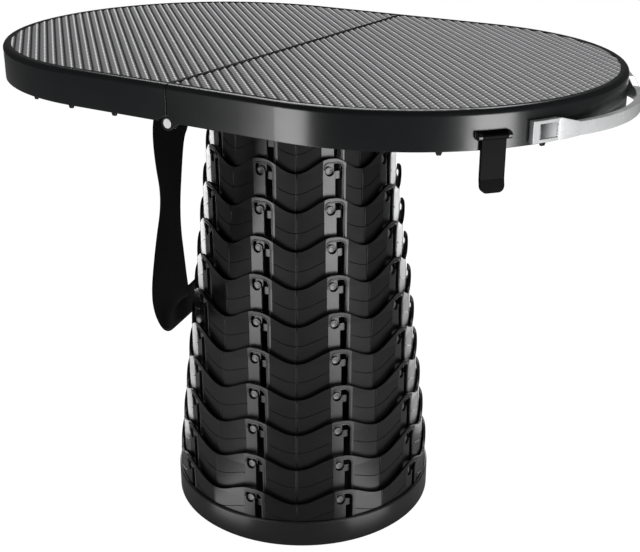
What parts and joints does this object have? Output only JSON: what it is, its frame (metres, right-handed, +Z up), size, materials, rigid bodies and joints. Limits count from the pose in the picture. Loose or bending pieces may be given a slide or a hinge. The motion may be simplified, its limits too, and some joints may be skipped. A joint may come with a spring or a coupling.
{
  "type": "telescopic folding table",
  "caption": "Telescopic camping table: nested wavy locking rings rise from a round base to carry a two-leaf oblong top with a ridged surface, fold latches, a carry handle and a strap.",
  "frame": {"origin": "middle of the base's underside, on the face of the middle foot pad", "axes": "+Z up, +X along the table's length towards the handle, +Y along the seam between the halves"},
  "size_m": [0.5971, 0.38, 0.45],
  "materials": {
    "column_plastic": "satin moulded",
    "base_plastic": "satin moulded",
    "pad_rubber": "matte",
    "rim_plastic": "gloss moulded",
    "panel_plastic": "ridged satin",
    "pin_metal": "bright nickel",
    "bracket_metal": "black coated",
    "webbing": "woven webbing",
    "handle_silver": "silver painted",
    "latch_plastic": "matte moulded"
  },
  "bodies": {
    "base": {"base_tray": "base_plastic", "foot_pads": "pad_rubber", "ring_01": "column_plastic"},
    "ring_02": {"ring_02": "column_plastic"},
    "ring_03": {"ring_03": "column_plastic"},
    "ring_04": {"ring_04": "column_plastic"},
    "ring_05": {"ring_05": "column_plastic"},
    "ring_06": {"ring_06": "column_plastic"},
    "ring_07": {"ring_07": "column_plastic"},
    "ring_08": {"ring_08": "column_plastic"},
    "ring_09": {"ring_09": "column_plastic"},
    "ring_10": {"ring_10": "column_plastic"},
    "ring_11": {"ring_11": "column_plastic", "column_head": "column_plastic"},
    "hinge_line": {"hinge_pin_front": "pin_metal", "hinge_pin_rear": "pin_metal", "strap_bracket_front": "bracket_metal", "strap_bracket_rear": "bracket_metal", "strap_rivets": "bracket_metal", "strap": "webbing"},
    "left_half": {"left_shell": "rim_plastic", "left_panel": "panel_plastic"},
    "right_half": {"right_shell": "rim_plastic", "right_panel": "panel_plastic", "carry_handle": "handle_silver", "latch_pins": "pin_metal"},
    "latch_front": {"latch_front": "latch_plastic"},
    "latch_rear": {"latch_rear": "latch_plastic"}
  },
  "joints": [
    {"name": "ring_02_slide", "type": "slide", "parent": "base", "child": "ring_02", "axis": [0, 0, 1], "range_m": [-0.0342, 0], "deforming": ["strap"]},
    {"name": "ring_03_slide", "type": "slide", "parent": "ring_02", "child": "ring_03", "axis": [0, 0, 1], "range_m": [-0.0342, 0]},
    {"name": "ring_04_slide", "type": "slide", "parent": "ring_03", "child": "ring_04", "axis": [0, 0, 1], "range_m": [-0.0342, 0]},
    {"name": "ring_05_slide", "type": "slide", "parent": "ring_04", "child": "ring_05", "axis": [0, 0, 1], "range_m": [-0.0342, 0]},
    {"name": "ring_06_slide", "type": "slide", "parent": "ring_05", "child": "ring_06", "axis": [0, 0, 1], "range_m": [-0.0342, 0]},
    {"name": "ring_07_slide", "type": "slide", "parent": "ring_06", "child": "ring_07", "axis": [0, 0, 1], "range_m": [-0.0342, 0]},
    {"name": "ring_08_slide", "type": "slide", "parent": "ring_07", "child": "ring_08", "axis": [0, 0, 1], "range_m": [-0.0342, 0]},
    {"name": "ring_09_slide", "type": "slide", "parent": "ring_08", "child": "ring_09", "axis": [0, 0, 1], "range_m": [-0.0342, 0]},
    {"name": "ring_10_slide", "type": "slide", "parent": "ring_09", "child": "ring_10", "axis": [0, 0, 1], "range_m": [-0.0342, 0]},
    {"name": "ring_11_slide", "type": "slide", "parent": "ring_10", "child": "ring_11", "axis": [0, 0, 1], "range_m": [-0.0342, 0]},
    {"name": "top_lift", "type": "slide", "parent": "ring_11", "child": "hinge_line", "axis": [0, 0, 1], "range_m": [0, 0.45], "deforming": ["strap"]},
    {"name": "left_fold", "type": "hinge", "parent": "hinge_line", "child": "left_half", "pos_m": [0, 0, 0.419], "axis": [0, -1, 0], "range_deg": [0, 90]},
    {"name": "right_fold", "type": "hinge", "parent": "hinge_line", "child": "right_half", "pos_m": [0, 0, 0.419], "axis": [0, 1, 0], "range_deg": [0, 90]},
    {"name": "latch_front_swing", "type": "hinge", "parent": "right_half", "child": "latch_front", "pos_m": [0.24704, -0.12695, 0.431], "axis": [-0.6561, -0.7547, 0], "range_deg": [0, 100]},
    {"name": "latch_rear_swing", "type": "hinge", "parent": "right_half", "child": "latch_rear", "pos_m": [0.24704, 0.12695, 0.431], "axis": [0.6561, -0.7547, 0], "range_deg": [0, 100]}
  ],
  "couplings": [
    {"joint": "ring_03_slide", "follows": "ring_02_slide", "ratio": 1},
    {"joint": "ring_04_slide", "follows": "ring_02_slide", "ratio": 1},
    {"joint": "ring_05_slide", "follows": "ring_02_slide", "ratio": 1},
    {"joint": "ring_06_slide", "follows": "ring_02_slide", "ratio": 1},
    {"joint": "ring_07_slide", "follows": "ring_02_slide", "ratio": 1},
    {"joint": "ring_08_slide", "follows": "ring_02_slide", "ratio": 1},
    {"joint": "ring_09_slide", "follows": "ring_02_slide", "ratio": 1},
    {"joint": "ring_10_slide", "follows": "ring_02_slide", "ratio": 1},
    {"joint": "ring_11_slide", "follows": "ring_02_slide", "ratio": 1},
    {"joint": "left_fold", "follows": "top_lift", "rad_per_m": 3.4906},
    {"joint": "right_fold", "follows": "top_lift", "rad_per_m": 3.4906}
  ]
}
